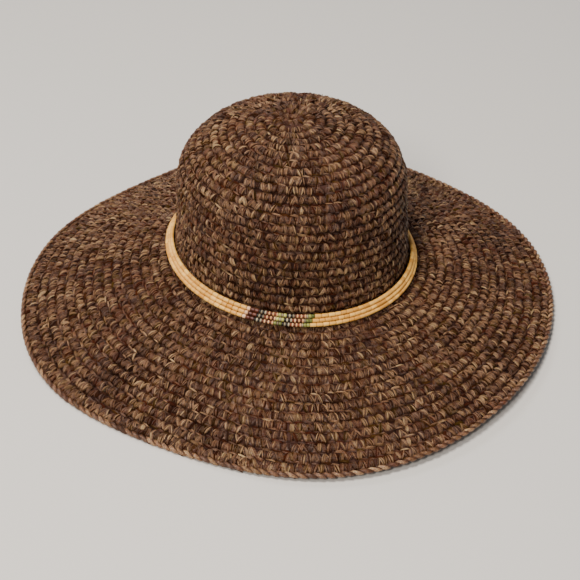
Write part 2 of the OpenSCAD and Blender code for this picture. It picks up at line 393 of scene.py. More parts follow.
def fabricZones():
    zones = []
    for name, node, fromT, toT, count in fabricStretches:
        rounds = cells[(cells[:, 0] >= fromT) & (cells[:, 0] < toT), 0]
        cuts = [fromT, *np.quantile(rounds, np.linspace(0, 1, count + 1)[1:-1]), toT]
        for k in range(count):
            zones.append((name + (str(k + 1) if count > 1 else ""), node, cuts[k], cuts[k + 1]))
    return zones


def tipStrands():
    count, verts = stitchWork["tipStrands"], legs[0][0][0]
    flat = verts - np.array([0, 3.3, 0])
    top = outerPoint(np.array(0.05), np.array(0.0))[2]
    turned = []
    for angle in dice.uniform(0, fullTurn, count):
        c, n = math.cos(angle), math.sin(angle)
        x = flat[:, 0] * c - flat[:, 1] * n + dice.normal(0, stitchWork["tipSpread"])
        y = flat[:, 0] * n + flat[:, 1] * c + dice.normal(0, stitchWork["tipSpread"])
        turned.append(np.stack([x, y, top + flat[:, 2] - 0.3 + 0 * x], -1))
    tones = np.stack([np.clip(dice.normal(0.45, 0.2, (count, 1)) + 0 * flat[None, :, 0], 0, 1),
                      np.broadcast_to(dice.random((count, 1)), (count, len(verts)))], -1)
    return repeatTemplate(legs[0][0], np.array(turned), tones)


def makeFabric():
    pieces = []
    for name, node, fromT, toT in fabricZones():
        own = cells[(cells[:, 0] >= fromT) & (cells[:, 0] < toT)]
        parts = [layStitches(own, leg) for leg in legs]
        parts.append(layStitches(own, topLoop, -0.08))
        parts.append(layStitches(own, backBump, -0.12, 0.05))
        if fromT == 0:
            parts.append(tipStrands())
        core = coreSheet(max(fromT, 0.05), min(toT, hatShape["crownRounds"] + hatShape["brimRounds"] + 0.3))
        obj = meshObject(name, joinParts(parts + [core]))
        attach(obj, "hat")
        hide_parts(node)
        pieces.append(obj)
        print(name, "stitches", len(own), "faces", len(obj.data.polygons))
    return pieces


fabricPieces = makeFabric()

# finishing round: strands wrapped over the brim's edge, each leaning the same way

edgeWork = {"pitch": 6.6, "lean": 5.6, "from": 168, "to": -160, "radius": 1.6, "sides": 10, "steps": 7,
            "ridge": 0.1, "coreRadius": 1.35, "coreSides": 8, "coreSteps": 220}


# x along the edge, y the angle round the edge's own axis, w outward from that axis
def edgePoint(x, y, w):
    a = x
    r = edgeRadius(a) + w * np.cos(y)
    return np.stack([r * np.cos(a), r * np.sin(a), edgeHeight(a) + w * np.sin(y)], -1)


def makeEdge():
    e = edgeWork
    sides, steps = e["sides"], e["steps"]
    count = int(round(fullTurn * hatShape["brimR"] / e["pitch"]))
    wrap = strandTemplate(lambda q: (e["lean"] * (2 * q - 1), 2 * q - 1, 0), lambda q: 1, lambda q: 1,
                          sides, steps)
    q = np.repeat(np.linspace(0, 1, steps + 1), sides)
    turn = np.tile(np.arange(sides) * fullTurn / sides, steps + 1)
    swell = 1 + e["ridge"] * (1 - 2 * (np.tile(np.arange(sides), steps + 1) % 2))
    wide = (1.2 + 1.0 * np.sin(math.pi * q) ** 0.7) * swell
    thick = (0.55 + 0.35 * np.sin(math.pi * q)) * swell
    angle = np.radians(e["from"] + (e["to"] - e["from"]) * q)
    centreX = e["lean"] * (2 * q - 1)
    places, tones = [], []
    for k in range(count):
        a0 = fullTurn * k / count
        r0 = float(edgeRadius(np.array(a0)))
        grow = 1 + dice.normal(0, 0.06)
        x = (centreX * grow + wide * np.cos(turn) * 0.8 + dice.normal(0, 0.2)) / r0 + a0
        y = angle + wide * np.cos(turn) * 0.35 / e["radius"]
        w = e["radius"] + thick * np.sin(turn) + dice.normal(0, 0.08)
        places.append(edgePoint(x, y, w))
        tones.append((np.clip(dice.normal(0.6, 0.2), 0, 1), dice.random()))
    around, sides = e["coreSteps"], e["coreSides"]
    j, k = np.meshgrid(np.arange(sides), np.arange(around))
    core = edgePoint(k * fullTurn / around, j * fullTurn / sides, e["coreRadius"]).reshape(-1, 3)
    quads = np.roll(tubeQuads(around, sides, closed=True)[:, ::-1], 1, axis=1)
    # the core tube's low tone of 0.1 colours it dark: painted shade in the gaps between the wraps
    coreTube = (core, quads, np.zeros((0, 3), int), np.zeros((len(quads), 4, 2)), np.zeros((0, 3, 2)),
                np.full((len(core), 2), 0.1))
    wraps = repeatTemplate(wrap, aboveFloor(np.array(places)), np.array(tones))
    obj = meshObject("brimEdgeRound", joinParts([wraps, coreTube]))
    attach(obj, "hat")
    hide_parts("brim_edge")
    return obj


edgePiece = makeEdge()

# bead band: three strands in one tilted plane

bandShape = {"radius": 102.4, "height": 49.3, "dropRight": 8.5, "dropFront": 2.0, "stepIn": 1.7,
             "stepUp": 3.0, "accentStart": 247.8, "accentShift": 0.6, "gap": 0.12, "seam": 0.2,
             "barAngle": 90, "barHalf": 3.8}
beadKinds = {
    "tan": {"length": 5.0, "d": 3.3, "round": 0.24, "slot": "bead_tan"},
    "pink": {"length": 3.0, "d": 3.3, "round": 0.24, "slot": "bead_pink"},
    "rust": {"length": 3.3, "d": 3.0, "round": 0.18, "slot": "bead_rust"},
    "green": {"length": 2.4, "d": 3.0, "round": 0.18, "slot": "bead_green"},
    "black": {"length": 1.4, "d": 3.0, "round": 0.18, "slot": "bead_black"},
    "pearl": {"length": 1.4, "d": 3.0, "round": 0.18, "slot": "bead_pearl"},
    "peach": {"length": 1.4, "d": 3.0, "round": 0.18, "slot": "bead_peach"},
    "coral": {"length": 1.4, "d": 3.0, "round": 0.18, "slot": "bead_coral"}}
accentBeads = ("pink rust rust black pearl black pearl coral peach coral peach coral peach "
               "green pearl green black pearl black pearl coral peach coral peach coral peach "
               "pearl green green").split()
beadBore = 1.2
bandTurn = np.array(Matrix.Rotation(math.atan(bandShape["dropRight"] / bandShape["radius"]), 3, "Y")
                    @ Matrix.Rotation(math.atan(bandShape["dropFront"] / bandShape["radius"]), 3, "X"))


def strandRadius(i):
    return bandShape["radius"] - i * bandShape["stepIn"]


def strandPoint(i, a, out=0.0, up=0.0):
    r = strandRadius(i) + out
    flat = np.stack([r * np.cos(a), r * np.sin(a), i * bandShape["stepUp"] + up + 0 * a], -1)
    return flat @ bandTurn.T + np.array([0, 0, bandShape["height"]])


# (kind, strand, direction, length) of every bead
def beadPlaces():
    rows = []
    for i in range(3):
        perMm = 1 / strandRadius(i)
        steps = [beadKinds[kind]["length"] + bandShape["gap"] for kind in accentBeads]
        start = math.radians(bandShape["accentStart"] + i * bandShape["accentShift"])
        a = start
        for kind, step in zip(accentBeads, steps):
            rows.append((kind, i, a + step * perMm / 2, beadKinds[kind]["length"]))
            a += step * perMm
        bar = bandShape["barHalf"] * perMm
        barAt = math.radians(bandShape["barAngle"])
        for low, high in ((a, fullTurn + barAt - bar), (barAt + bar, start)):
            count = int((high - low) / ((beadKinds["tan"]["length"] + bandShape["gap"]) * perMm))
            lengths = np.clip(dice.normal(1, 0.07, count), 0.86, 1.16)
            lengths *= (high - low) / perMm / lengths.sum()
            at = low
            for length in lengths:
                rows.append(("tan", i, at + length * perMm / 2, length - bandShape["gap"]))
                at += length * perMm
    return rows


# a lathe profile (radius, place along the bead from -0.5 to 0.5) as a closed, bored bead
def beadTemplate(roundness):
    sides = 16
    outline = [(0.0, -0.5, 0.0), (0.72, -0.5, 0.0), (0.93, -0.5, 1.0), (1.0, -0.5, 2.2), (1.0, 0.0, 0.0),
               (1.0, 0.5, -2.2), (0.93, 0.5, -1.0), (0.72, 0.5, 0.0), (0.0, 0.5, 0.0)]
    rings = [(share, end, inset * roundness) for share, end, inset in outline]
    rows = len(rings)
    turn = np.arange(sides) * fullTurn / sides
    uvs = tubeUvs(rows, sides, np.arange(rows + 1) / rows)
    return np.array(rings), turn, tubeQuads(rows, sides, closed=True), uvs


def makeBeads():
    places = beadPlaces()
    groups = {}
    for row in places:
        key = f"{['lower', 'middle', 'upper'][row[1]]}TanBeads" if row[0] == "tan" else f"{row[0]}Beads"
        groups.setdefault(key, []).append(row)
    made = {}
    for key, rows in groups.items():
        kind = beadKinds[rows[0][0]]
        rings, turn, quads, quadUvs = beadTemplate(kind["round"])
        verts, tones = [], []
        for _, i, a, length in rows:
            length -= bandShape["seam"]
            radius = kind["d"] / 2 * np.clip(dice.normal(0.985, 0.02), 0.93, 1.02)
            bore = beadBore / 2
            centre = strandPoint(i, np.array(a))
            ahead = strandPoint(i, np.array(a + 0.01)) - strandPoint(i, np.array(a - 0.01))
            ahead /= np.linalg.norm(ahead)
            out = strandPoint(i, np.array(a), 1.0) - centre
            ahead += out * dice.normal(0, 0.012) + np.cross(ahead, out) * dice.normal(0, 0.012)
            ahead /= np.linalg.norm(ahead)
            out -= ahead * (out @ ahead)
            out /= np.linalg.norm(out)
            up = np.cross(ahead, out)
            r = bore + rings[:, 0] * (radius - bore)
            along = rings[:, 1] * length + rings[:, 2]
            ring = centre + along[:, None, None] * ahead + r[:, None, None] * (
                np.cos(turn)[None, :, None] * out + np.sin(turn)[None, :, None] * up)
            verts.append(ring.reshape(-1, 3))
            tones.append((dice.random(), dice.random()))
        template = (verts[0], quads[:, ::-1], np.zeros((0, 3), int), quadUvs[:, ::-1], np.zeros((0, 3, 2)))
        obj = meshObject(key, repeatTemplate(template, np.array(verts), np.array(tones)))
        node = key.replace("TanBeads", "_tan_beads").replace("Beads", "_beads")
        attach(obj, "hatband")
        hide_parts(node)
        made[key] = obj
    return made


beads = makeBeads()
print("beads", sum(len(o.data.polygons) for o in beads.values()))

# knots beside the spacer bar, each a small trefoil of cord

knotWork = {"tube": 0.34, "sides": 8, "steps": 48, "size": 0.246, "fromBar": 2.55, "uvStep": 0.2}


def makeKnots():
    q = np.arange(knotWork["steps"]) * fullTurn / knotWork["steps"]
    core = np.stack([np.sin(q) + 2 * np.sin(2 * q), np.cos(q) - 2 * np.cos(2 * q), -1.3 * np.sin(3 * q)], -1)
    core *= knotWork["size"]
    steps, sides = knotWork["steps"], knotWork["sides"]
    along = unit(np.roll(core, -1, 0) - np.roll(core, 1, 0))
    side = unit(np.cross(along, core))
    up = np.cross(along, side)
    turn = np.arange(sides) * fullTurn / sides
    ring = core[:, None] + knotWork["tube"] * (np.cos(turn)[None, :, None] * side[:, None]
                                               + np.sin(turn)[None, :, None] * up[:, None])
    quads = tubeQuads(steps, sides, closed=True)
    uvs = tubeUvs(steps, sides, np.arange(steps + 1) * knotWork["uvStep"])
    verts = []
    for strand in range(3):
        for way in (-1, 1):
            a = math.radians(bandShape["barAngle"]) + way * knotWork["fromBar"] / strandRadius(strand)
            centre = strandPoint(strand, np.array(a))
            out = strandPoint(strand, np.array(a), 1.0) - centre
            upward = strandPoint(strand, np.array(a), 0.0, 1.0) - centre
            ahead = np.cross(upward, out)
            knot = centre + ring[..., 0:1] * out + ring[..., 1:2] * upward + ring[..., 2:3] * ahead
            verts.append(knot.reshape(-1, 3))
    verts = np.array(verts)
    template = (verts[0], quads, np.zeros((0, 3), int), uvs, np.zeros((0, 3, 2)))
    knots = meshObject("cordKnots", repeatTemplate(template, verts, dice.random((len(verts), 2))))
    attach(knots, "hatband")
    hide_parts("cord_knots")
    return knots


knots = makeKnots()

# ribbon sweatband inside the crown, with its join, its stitches and the label in the tip

ribbonShape = {"innerR": 90.0, "thick": 0.8, "cutZ": 42.5, "width": 30.0, "joinWidth": 12.0, "joinAt": 90.0,
               "ribs": 700, "ribDepth": 0.05, "rows": 14, "pucker": 0.18, "stitches": 60}


# how far the join's tilted plane is above its middle height
def tiltedHeight(r, a):
    s = hatShape
    return r / s["crownR"] * (-s["dropRight"] * np.cos(a) + s["dropFront"] * np.sin(a))


# v runs up the ribbon from 0 to 1; depth is from the inner face outward
def ribbonPoint(a, v, depth):
    s = ribbonShape
    pull = s["pucker"] * np.exp(-(v * s["width"] / 2.2) ** 2) * np.cos(s["stitches"] * (a - 0.07)) ** 2
    r = s["innerR"] + depth + pull
    z = s["cutZ"] + s["width"] * v + tiltedHeight(s["innerR"], a)
    return np.stack([r * np.cos(a), r * np.sin(a), z], -1)


def makeRibbon(name, node, fromA, toA):
    s = ribbonShape
    columns = int(s["ribs"] * 2 * (toA - fromA) / fullTurn)
    a = np.linspace(fromA, toA, columns + 1)
    v = np.linspace(0, 1, s["rows"] + 1)
    aa, vv = np.meshgrid(a, v, indexing="ij")
    rib = s["ribDepth"] * np.where(np.arange(columns + 1) % 2, 1.0, 0.0)[:, None] * (1 + 0 * vv)
    edge = 0.12 * (np.abs(vv - 0.5) > 0.47)
    inner = ribbonPoint(aa, vv, rib + edge)
    outer = ribbonPoint(aa, vv, s["thick"] - rib - edge)
    rows = s["rows"] + 1
    count = (columns + 1) * rows
    i, j = np.meshgrid(np.arange(columns), np.arange(s["rows"]), indexing="ij")
    inQuads = np.stack([i * rows + j, i * rows + j + 1, (i + 1) * rows + j + 1, (i + 1) * rows + j], -1)
    inQuads = inQuads.reshape(-1, 4)
    outQuads = inQuads[:, ::-1] + count
    k = np.arange(columns)
    low = np.stack([k * rows, (k + 1) * rows, (k + 1) * rows + count, k * rows + count], -1)
    high = low[:, [1, 0, 3, 2]] + s["rows"]
    j = np.arange(s["rows"])
    first = np.stack([j + 1, j, j + count, j + 1 + count], -1)
    end = columns * rows
    last = np.stack([end + j, end + j + 1, end + j + 1 + count, end + j + count], -1)
    quads = np.concatenate([inQuads, outQuads, low, high, first, last])
    verts = np.concatenate([inner.reshape(-1, 3), outer.reshape(-1, 3)])
    flat = np.concatenate([np.stack([aa * s["innerR"], vv * s["width"]], -1).reshape(-1, 2)] * 2)
    tones = np.concatenate([np.stack([0.5 + 0.1 * np.sin(aa * 7), vv], -1).reshape(-1, 2)] * 2)
    piece = meshObject(name, (verts, quads, np.zeros((0, 3), int), flat[quads], np.zeros((0, 3, 2)), tones))
    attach(piece, "hat")
    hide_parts(node)
    return piece


joinHalf = ribbonShape["joinWidth"] / 2 / ribbonShape["innerR"]
joinAt = math.radians(ribbonShape["joinAt"])
sweatband = makeRibbon("sweatbandRibbon", "sweatband", joinAt + joinHalf, joinAt + fullTurn - joinHalf)
ribbonJoin = makeRibbon("sweatbandJoinPiece", "sweatband_join", joinAt - joinHalf, joinAt + joinHalf)


# a closed tube through points
def threadTube(points, radius, sides=7):
    centre = np.array(points, float)
    along = unit(np.gradient(centre, axis=0))
    guide = np.where(np.abs(along[:, 2:3]) > 0.9, [[1.0, 0, 0]], [[0, 0, 1.0]])
    side = unit(np.cross(along, guide))
    up = np.cross(side, along)
    turn = np.arange(sides) * fullTurn / sides
    size = np.broadcast_to(np.asarray(radius, float), (len(centre),))[:, None, None]
    verts = centre[:, None] + size * (np.cos(turn)[None, :, None] * side[:, None]
                                      + np.sin(turn)[None, :, None] * up[:, None])
    steps = len(centre) - 1
    tris = tubeEnds(steps, sides)
    tone = np.tile(dice.random(2), (len(centre) * sides, 1))
    return (verts.reshape(-1, 3), tubeQuads(steps, sides), tris, tubeUvs(steps, sides, lengthAlong(centre)),
            np.zeros((len(tris), 3, 2)), tone)


def makeBandStitches():
    s = ribbonShape
    parts = []
    for k in range(s["stitches"]):
        a = (k + 0.5) * fullTurn / s["stitches"] + dice.normal(0, 0.004)
        lean = 0.016
        up = dice.normal(2.3, 0.25)
        path = [(89.75, up, lean), (89.62, up * 0.55, lean * 0.6), (89.8, 0.05, 0.1 * lean),
                (90.6, -0.42, 0), (92.0, -0.5, -lean * 0.4), (93.4, -0.25, -lean * 0.6)]
        points = []
        for r, z, shift in path:
            points.append((r * math.cos(a + shift), r * math.sin(a + shift),
                           s["cutZ"] + z + float(tiltedHeight(r, a + shift))))
        parts.append(threadTube(points, 0.3))
    stitches = meshObject("sweatbandStitches", joinParts(parts))
    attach(stitches, "hat")
    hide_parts("sweatband_stitches")
    return stitches


bandStitches = makeBandStitches()

labelShape = {"radius": 22.0, "rings": 26, "spokes": 120, "thick": 0.4, "hem": 1.6, "hemLift": 0.10,
              "stitches": 44, "wrinkle": 0.12}


def makeLabel():
    s = labelShape
    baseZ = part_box("crown_label")[0].z / mm
    r = np.linspace(0.02, 1, s["rings"] + 1) * s["radius"]
    a = np.arange(s["spokes"]) * fullTurn / s["spokes"]
    rr, aa = np.meshgrid(r, a, indexing="ij")
    inHem = 1 / (1 + np.exp(-(rr - s["radius"] + s["hem"]) * 6))
    wave = s["wrinkle"] * (0.5 + 0.5 * np.sin(3 * aa + rr * 0.32)) * np.sin(rr / s["radius"] * math.pi)
    puckers = 0.05 * inHem * np.cos(s["stitches"] * aa)
    x, y = rr * np.cos(aa), rr * np.sin(aa)
    under = baseZ + wave * 0.6 - s["hemLift"] * inHem + puckers
    over = under + s["thick"] * (0.62 + 0.38 * inHem)
    count = rr.size
    quads = sheetQuads(s["rings"], s["spokes"])
    verts = np.concatenate([np.stack([x, y, over], -1).reshape(-1, 3),
                            np.stack([x, y, under], -1).reshape(-1, 3)])
    fan = np.arange(1, s["spokes"] - 1)
    tris = np.concatenate([np.stack([0 * fan, fan, fan + 1], -1),
                           count + np.stack([0 * fan, fan + 1, fan], -1)])
    flat = verts[:, :2]
    tones = np.full((len(verts), 2), 0.5)
    label = meshObject("crownLabelCloth", (verts, quads, tris, flat[quads], flat[tris], tones))
    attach(label, "hat")
    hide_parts("crown_label")
    parts = []
    for step in range(s["stitches"]):
        at = (step + 0.2) * fullTurn / s["stitches"]
        points = []
        for share, lift in ((0, 0.25), (0.3, -0.06), (0.7, -0.06), (1, 0.25)):
            turn = at + share * 0.62 * fullTurn / s["stitches"]
            reach = s["radius"] - 1.0
            z = baseZ - s["hemLift"] - 0.02 + lift
            points.append((reach * math.cos(turn), reach * math.sin(turn), z))
        parts.append(threadTube(points, 0.14, 6))
    seam = meshObject("crownLabelSeam", joinParts(parts))
    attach(seam, "hat")
    return label, seam


label, labelSeam = makeLabel()

# loose fibre ends that stand out of the fabric

fibreWork = {"count": 150, "onTip": 26, "length": (2.5, 9.0), "radius": (0.07, 0.16), "steps": 7,
             "root": 1.3}


def makeFibres():
    parts = []
    for k in range(fibreWork["count"]):
        onTip = k < fibreWork["onTip"]
        t = dice.uniform(0.4, 5) if onTip else 40 * math.sqrt(dice.uniform(0.02, 0.98))
        a = dice.uniform(0, fullTurn)
        p, n = surfaceAt(np.array(t), np.array(a))
        along = np.cross(n, (0, 0, 1.0)) + dice.normal(0, 0.5, 3)
        along -= n * (along @ n)
        along /= np.linalg.norm(along)
        length = dice.uniform(*fibreWork["length"]) * (1.1 if onTip else 0.8)
        rise = dice.uniform(0.05, 0.5) * (1.5 if onTip else 1)
        bend = np.cross(n, along) * dice.normal(0, 0.35)
        q = np.linspace(0, 1, fibreWork["steps"] + 1)[:, None]
        start = p - n * fibreWork["root"]
        points = start + length * (q * along + n * rise * (q - 0.55 * q ** 2) + bend * q ** 2)
        radius = dice.uniform(*fibreWork["radius"]) * (1 - 0.75 * q[:, 0])
        parts.append(threadTube(points, radius, 5))
    fibres = meshObject("looseFibres", joinParts(parts))
    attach(fibres, "hat")
    return fibres


looseFibres = makeFibres()
print("inner pieces and fibres made")

# materials


def nodeTools(tree):
    def add(kind, **values):
        node = tree.nodes.new(kind)
        for key, value in values.items():
            if key == "inputs":
                for socket, content in value.items():
                    if hasattr(content, "is_output"):
                        tree.links.new(content, node.inputs[socket])
                    else:
                        node.inputs[socket].default_value = content
            else:
                setattr(node, key, value)
        return node
    return add


def maths(add, operation, *values, **more):
    return add("ShaderNodeMath", operation=operation, inputs=dict(enumerate(values)), **more)


# fine surface relief from a height
def addBump(tree, add, shader, height, strength, distance):
    bump = add("ShaderNodeBump", inputs={"Strength": strength, "Distance": distance, "Height": height})
    tree.links.new(bump.outputs[0], shader.inputs["Normal"])


def newGroup(name, inputs, outputs):
    group = bpy.data.node_groups.new(name, "ShaderNodeTree")
    for socket, kind, value in inputs:
        made = group.interface.new_socket(socket, in_out="INPUT", socket_type=kind)
        if value is not None:
            made.default_value = value
    for socket, kind in outputs:
        group.interface.new_socket(socket, in_out="OUTPUT", socket_type=kind)
    add = nodeTools(group)
    return group, add, add("NodeGroupInput"), add("NodeGroupOutput")


def rampStops(node, stops):
    ramp = node.color_ramp
    while len(ramp.elements) > len(stops):
        ramp.elements.remove(ramp.elements[-1])
    while len(ramp.elements) < len(stops):
        ramp.elements.new(0.5)
    for element, (place, colour) in zip(ramp.elements, stops):
        element.position = place
        element.color = (*colour, 1)


# fine lines along a strand of raffia, from the strand's own coordinates
def fibreStreakGroup():
    group, add, source, sink = newGroup(
        "fibreStreaks", [("Coordinates", "NodeSocketVector", None), ("Across", "NodeSocketFloat", 9.0),
                         ("Along", "NodeSocketFloat", 0.42)],
        [("Streak", "NodeSocketFloat"), ("Height", "NodeSocketFloat")])
    split = add("ShaderNodeSeparateXYZ", inputs={0: source.outputs["Coordinates"]})
    across = maths(add, "MULTIPLY", split.outputs[0], source.outputs["Across"])
    along = maths(add, "MULTIPLY", split.outputs[1], source.outputs["Along"])
    place = add("ShaderNodeCombineXYZ", inputs={0: across.outputs[0], 1: along.outputs[0]})
    noise = add("ShaderNodeTexNoise", noise_dimensions="2D",
                inputs={"Vector": place.outputs[0], "Scale": 2.2, "Detail": 3.0, "Roughness": 0.6})
    sharp = add("ShaderNodeMapRange", inputs={0: noise.outputs[0], 1: 0.32, 2: 0.68})
    group.links.new(sharp.outputs[0], sink.inputs["Streak"])
    group.links.new(noise.outputs[0], sink.inputs["Height"])
    return group


# slow changes of the dye over the hat
def dyePatchGroup():
    group, add, source, sink = newGroup(
        "dyePatches", [("Size", "NodeSocketFloat", 26.0)],
        [("Patch", "NodeSocketFloat"), ("Warm", "NodeSocketFloat")])
    place = add("ShaderNodeTexCoord")
    one = add("ShaderNodeTexNoise",
              inputs={"Vector": place.outputs["Object"], "Scale": source.outputs["Size"],
                      "Detail": 3.0, "Roughness": 0.55})
    two = add("ShaderNodeTexNoise", noise_dimensions="4D",
              inputs={"Vector": place.outputs["Object"], "W": 4.2, "Scale": source.outputs["Size"],
                      "Detail": 4.0, "Roughness": 0.6})
    low = add("ShaderNodeMapRange", inputs={0: one.outputs[0], 1: 0.34, 2: 0.66})
    warm = add("ShaderNodeMapRange", inputs={0: two.outputs[0], 1: 0.38, 2: 0.62})
    group.links.new(low.outputs[0], sink.inputs["Patch"])
    group.links.new(warm.outputs[0], sink.inputs["Warm"])
    return group


fibreStreaks = fibreStreakGroup()
dyePatches = dyePatchGroup()


def newMaterial(name):
    material = bpy.data.materials.new(name)
    material.use_nodes = True
    tree = material.node_tree
    tree.nodes.clear()
    add = nodeTools(tree)
    out = add("ShaderNodeOutputMaterial")
    shader = add("ShaderNodeBsdfPrincipled")
    tree.links.new(shader.outputs[0], out.inputs[0])
    return material, tree, add, shader


# deep, the ramp's darkest colour, is reached by the darkest strands and by painted shade
raffiaLook = {
    "deep": (0.008, 0.0018, 0.0003), "brown": (0.084, 0.028, 0.0085), "worn": (0.37, 0.190, 0.094),
    "straw": (0.66, 0.45, 0.22), "reddish": (0.125, 0.024, 0.009), "olive": (0.135, 0.074, 0.010),
    "mauve": (0.100, 0.050, 0.042), "roughest": 0.42, "smoothest": 0.22, "hollowRough": 0.9}


def raffiaMaterial(name, lighter=0.0):
    look = raffiaLook
    material, tree, add, shader = newMaterial(name)
    uv = add("ShaderNodeUVMap", uv_map="fibre")
    streaks = add("ShaderNodeGroup", node_tree=fibreStreaks, inputs={"Coordinates": uv.outputs[0]})
    patches = add("ShaderNodeGroup", node_tree=dyePatches)
    # tone holds each strand's own tone, darkened by painted shade deep in the fabric and on the dark cores
    tone = add("ShaderNodeAttribute", attribute_name="tone")
    tint = add("ShaderNodeAttribute", attribute_name="tint")
    mixed = maths(add, "MULTIPLY_ADD", streaks.outputs["Streak"], 0.62, -0.32 + lighter)
    level = maths(add, "MULTIPLY_ADD", tone.outputs["Fac"], 0.72, mixed.outputs[0])
    withPatch = maths(add, "MULTIPLY_ADD", patches.outputs["Patch"], 0.20, level.outputs[0])
    ramp = add("ShaderNodeValToRGB", inputs={0: withPatch.outputs[0]})
    rampStops(ramp, [(0.0, look["deep"]), (0.42, look["brown"]), (0.80, look["worn"]), (1.0, look["straw"])])
    hue = add("ShaderNodeValToRGB", inputs={0: tint.outputs["Fac"]})
    rampStops(hue, [(0.0, look["mauve"]), (0.3, look["brown"]), (0.6, look["reddish"]),
                    (1.0, look["olive"])])
    hueAmount = maths(add, "MULTIPLY_ADD", patches.outputs["Warm"], 0.35, 0.12)
    colour = add("ShaderNodeMix", data_type="RGBA", blend_type="MIX",
                 inputs={0: hueAmount.outputs[0], 6: ramp.outputs[0], 7: hue.outputs[0]})
    tree.links.new(colour.outputs[2], shader.inputs["Base Color"])
    rough = add("ShaderNodeMapRange",
                inputs={0: streaks.outputs["Streak"], 3: look["roughest"], 4: look["smoothest"]})
    hollow = add("ShaderNodeMapRange", inputs={0: tone.outputs["Fac"], 1: 0.02, 2: 0.22, 3: 1.0, 4: 0.0})
    roughness = add("ShaderNodeMix", data_type="FLOAT",
                    inputs={0: hollow.outputs[0], 2: rough.outputs[0], 3: look["hollowRough"]})
    tree.links.new(roughness.outputs[0], shader.inputs["Roughness"])
    shine = add("ShaderNodeMapRange", inputs={0: hollow.outputs[0], 3: 0.55, 4: 0.1})
    tree.links.new(shine.outputs[0], shader.inputs["Specular IOR Level"])
    addBump(tree, add, shader, streaks.outputs["Height"], 0.9, 0.0006)
    return material


raffia = raffiaMaterial("dyedRaffia")
raffiaEdge = raffiaMaterial("wornEdgeRaffia", 0.06)
for obj in fabricPieces:
    obj.data.materials.append(raffia)
edgePiece.data.materials.append(raffiaEdge)

beadLooks = {
    "tan": {"low": (0.64, 0.28, 0.04), "high": (0.98, 0.56, 0.13), "rough": 0.46},
    "pink": {"low": (0.74, 0.39, 0.19), "high": (0.94, 0.6, 0.35), "rough": 0.42},
    "rust": {"low": (0.06, 0.01, 0.004), "high": (0.13, 0.026, 0.01), "rough": 0.42},
    "black": {"low": (0.003, 0.002, 0.003), "high": (0.01, 0.007, 0.008), "rough": 0.45},
    "pearl": {"low": (0.16, 0.12, 0.07), "high": (0.55, 0.46, 0.29), "rough": 0.42},
    "peach": {"low": (0.7, 0.33, 0.12), "high": (0.95, 0.55, 0.27), "rough": 0.4},
    "coral": {"low": (0.085, 0.016, 0.006), "high": (0.24, 0.05, 0.018), "rough": 0.42},
    "green": {"low": (0.035, 0.055, 0.003), "high": (0.55, 0.52, 0.13), "rough": 0.4}}


def beadMaterial(kind):
    look = beadLooks[kind]
    material, tree, add, shader = newMaterial(kind + "Bead")
    tone = add("ShaderNodeAttribute", attribute_name="tone")
    place = add("ShaderNodeTexCoord")
    grain = add("ShaderNodeTexNoise",
                inputs={"Vector": place.outputs["Object"], "Scale": 900.0, "Detail": 3.0})
    mixed = maths(add, "MULTIPLY_ADD", grain.outputs[0], 0.45, -0.22)
    level = maths(add, "ADD", tone.outputs["Fac"], mixed.outputs[0], use_clamp=True)
    ramp = add("ShaderNodeValToRGB", inputs={0: level.outputs[0]})
    rampStops(ramp, [(0.0, look["low"]), (1.0, look["high"])])
    tree.links.new(ramp.outputs[0], shader.inputs["Base Color"])
    rough = add("ShaderNodeMapRange",
                inputs={0: grain.outputs[0], 3: look["rough"] - 0.06, 4: look["rough"] + 0.1})
    tree.links.new(rough.outputs[0], shader.inputs["Roughness"])
    addBump(tree, add, shader, grain.outputs[0], 0.25, 0.0001)
    return material


beadMaterials = {kind: beadMaterial(kind) for kind in beadLooks}
for key, obj in beads.items():
    kind = "tan" if "Tan" in key else key[:-5]
    obj.data.materials.append(beadMaterials[kind])


# ribbed or plain cloth: ribs runs along one direction of the piece's own flat pattern
def clothMaterial(name, look):
    material, tree, add, shader = newMaterial(name)
    uv = add("ShaderNodeUVMap", uv_map="fibre")
    weave = add("ShaderNodeGroup", node_tree=clothWeave,
                inputs={"Coordinates": uv.outputs[0], "Ribs": look["ribs"], "Rib Scale": look["ribScale"]})
    ramp = add("ShaderNodeValToRGB", inputs={0: weave.outputs["Tone"]})
    rampStops(ramp, [(0.25, look["low"]), (0.85, look["high"])])
    tree.links.new(ramp.outputs[0], shader.inputs["Base Color"])
    shader.inputs["Roughness"].default_value = look["rough"]
    shader.inputs["Sheen Weight"].default_value = 0.15
    addBump(tree, add, shader, weave.outputs["Height"], look["relief"], 0.0002)
    return material


# warp and weft from flat coordinates in millimetres, with slow unevenness
def clothWeaveGroup():
    group, add, source, sink = newGroup(
        "clothWeave", [("Coordinates", "NodeSocketVector", None), ("Ribs", "NodeSocketFloat", 1.0),
                       ("Rib Scale", "NodeSocketFloat", 8.0)],
        [("Tone", "NodeSocketFloat"), ("Height", "NodeSocketFloat")])
    split = add("ShaderNodeSeparateXYZ", inputs={0: source.outputs["Coordinates"]})
    warp = maths(add, "MULTIPLY", split.outputs[0], source.outputs["Rib Scale"])
    weft = maths(add, "MULTIPLY", split.outputs[1], source.outputs["Rib Scale"])
    warpWave = maths(add, "SINE", warp.outputs[0])
    weftWave = maths(add, "SINE", weft.outputs[0])
    both = maths(add, "MULTIPLY", warpWave.outputs[0], weftWave.outputs[0])
    ribPart = maths(add, "MULTIPLY", warpWave.outputs[0], source.outputs["Ribs"])
    height = maths(add, "ADD", both.outputs[0], ribPart.outputs[0])
    noise = add("ShaderNodeTexNoise", noise_dimensions="2D",
                inputs={"Vector": source.outputs["Coordinates"], "Scale": 0.9, "Detail": 5.0,
                        "Roughness": 0.65})
    tone = maths(add, "MULTIPLY_ADD", height.outputs[0], 0.12, noise.outputs[0])
    group.links.new(tone.outputs[0], sink.inputs["Tone"])
    group.links.new(height.outputs[0], sink.inputs["Height"])
    return group


